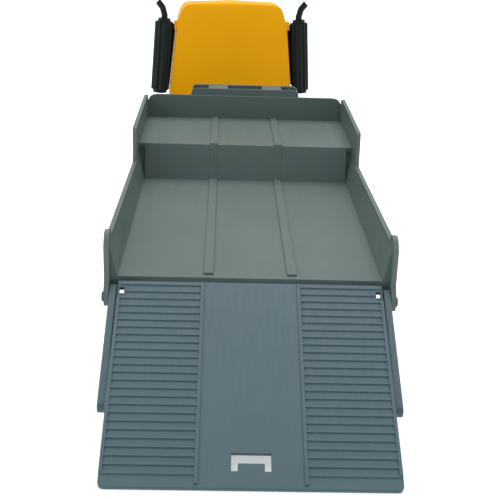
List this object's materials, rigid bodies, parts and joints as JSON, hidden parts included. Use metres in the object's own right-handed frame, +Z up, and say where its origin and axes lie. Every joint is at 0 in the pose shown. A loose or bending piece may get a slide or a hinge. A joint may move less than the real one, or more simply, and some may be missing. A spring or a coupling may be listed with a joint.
{
  "type": "toy articulated lorry with low-loader trailer",
  "caption": "Toy tractor unit with yellow cab and twin exhaust stacks, pulling a stepped grey low-loader trailer with a fold-down rear ramp.",
  "frame": {"origin": "middle of the lower deck's loading face, on the trailer's centre plane", "axes": "+Y forwards along the trailer, +X to the vehicle's right, +Z up; the tractor stands turned 6 degrees to the left"},
  "size_m": [0.2062, 0.7117, 0.1986],
  "materials": {
    "bed_plastic": "satin moulded grey plastic with faint flow marks and scuffs",
    "ramp_plastic": "satin moulded blue-grey plastic",
    "yellow_plastic": "glossy moulded yellow-orange plastic",
    "black_plastic": "satin black plastic",
    "silver_plastic": "silver-grey plastic",
    "rim_plastic": "light grey plastic",
    "clear_plastic": "clear polished plastic",
    "tyre": "soft black tyre with moulded tread",
    "axle_steel": "plain bright steel rod"
  },
  "bodies": {
    "trailer": {"bed": "bed_plastic", "gooseneck_box": "bed_plastic", "kingpin": "axle_steel", "underframe": "black_plastic", "hinge_pin_left": "ramp_plastic", "hinge_pin_right": "ramp_plastic"},
    "ramp": {"ramp": "ramp_plastic", "ramp_arm_left": "ramp_plastic", "ramp_arm_right": "ramp_plastic"},
    "landing_leg": {"landing_leg": "black_plastic"},
    "trailer_rear_wheels": {"trailer_rear_axle": "axle_steel", "trailer_rear_tyre_left": "tyre", "trailer_rear_rim_left": "rim_plastic", "trailer_rear_tyre_right": "tyre", "trailer_rear_rim_right": "rim_plastic"},
    "trailer_front_wheels": {"trailer_front_axle": "axle_steel", "trailer_front_tyre_left": "tyre", "trailer_front_rim_left": "rim_plastic", "trailer_front_tyre_right": "tyre", "trailer_front_rim_right": "rim_plastic"},
    "tractor": {"tractor_chassis": "black_plastic", "fifth_wheel": "black_plastic", "cab_shell": "yellow_plastic", "windscreen": "clear_plastic", "side_window_left": "clear_plastic", "side_window_right": "clear_plastic", "cab_interior": "black_plastic", "dashboard": "black_plastic", "sun_visor": "yellow_plastic", "steering_wheel": "black_plastic", "engine": "black_plastic", "front_bumper": "silver_plastic", "fuel_tank_left": "black_plastic", "fuel_tank_right": "black_plastic", "side_box_left": "yellow_plastic", "side_box_right": "yellow_plastic", "stack_shield_left": "black_plastic", "stack_shield_right": "black_plastic", "exhaust_pipe_left": "black_plastic", "exhaust_pipe_right": "black_plastic"},
    "hood": {"hood": "yellow_plastic", "grille": "silver_plastic", "headlamp_left": "clear_plastic", "headlamp_right": "clear_plastic"},
    "tractor_front_wheels": {"tractor_front_axle": "axle_steel", "tractor_front_tyre_left": "tyre", "tractor_front_rim_left": "rim_plastic", "tractor_front_tyre_right": "tyre", "tractor_front_rim_right": "rim_plastic"},
    "tractor_rearmost_wheels": {"tractor_rearmost_axle": "axle_steel", "tractor_rearmost_tyre_left": "tyre", "tractor_rearmost_rim_left": "rim_plastic", "tractor_rearmost_tyre_right": "tyre", "tractor_rearmost_rim_right": "rim_plastic"},
    "tractor_middle_wheels": {"tractor_middle_axle": "axle_steel", "tractor_middle_tyre_left": "tyre", "tractor_middle_rim_left": "rim_plastic", "tractor_middle_tyre_right": "tyre", "tractor_middle_rim_right": "rim_plastic"}
  },
  "joints": [
    {"name": "ramp_hinge", "type": "hinge", "parent": "trailer", "child": "ramp", "pos_m": [0, -0.116, -0.011], "axis": [-1, 0, 0], "range_deg": [0, 118]},
    {"name": "landing_leg_fold", "type": "hinge", "parent": "trailer", "child": "landing_leg", "pos_m": [0, 0.074, -0.013], "axis": [1, 0, 0], "range_deg": [0, 90]},
    {"name": "trailer_rear_spin", "type": "hinge", "parent": "trailer", "child": "trailer_rear_wheels", "pos_m": [0, -0.074, -0.05], "axis": [1, 0, 0], "continuous": true},
    {"name": "trailer_front_spin", "type": "hinge", "parent": "trailer", "child": "trailer_front_wheels", "pos_m": [0, -0.02, -0.05], "axis": [1, 0, 0], "continuous": true},
    {"name": "tractor_turn", "type": "hinge", "parent": "trailer", "child": "tractor", "pos_m": [0, 0.18, 0.015], "axis": [0, 0, 1], "range_deg": [-51, 39]},
    {"name": "hood_tilt", "type": "hinge", "parent": "tractor", "child": "hood", "pos_m": [-0.02822, 0.44852, -0.032], "axis": [-0.9945, -0.1045, 0], "range_deg": [0, 45]},
    {"name": "tractor_front_spin", "type": "hinge", "parent": "tractor", "child": "tractor_front_wheels", "pos_m": [-0.02425, 0.41073, -0.043], "axis": [0.9945, 0.1045, 0], "continuous": true},
    {"name": "tractor_rearmost_spin", "type": "hinge", "parent": "tractor", "child": "tractor_rearmost_wheels", "pos_m": [0.00209, 0.16011, -0.043], "axis": [0.9945, 0.1045, 0], "continuous": true},
    {"name": "tractor_middle_spin", "type": "hinge", "parent": "tractor", "child": "tractor_middle_wheels", "pos_m": [-0.00439, 0.22177, -0.043], "axis": [0.9945, 0.1045, 0], "continuous": true}
  ]
}
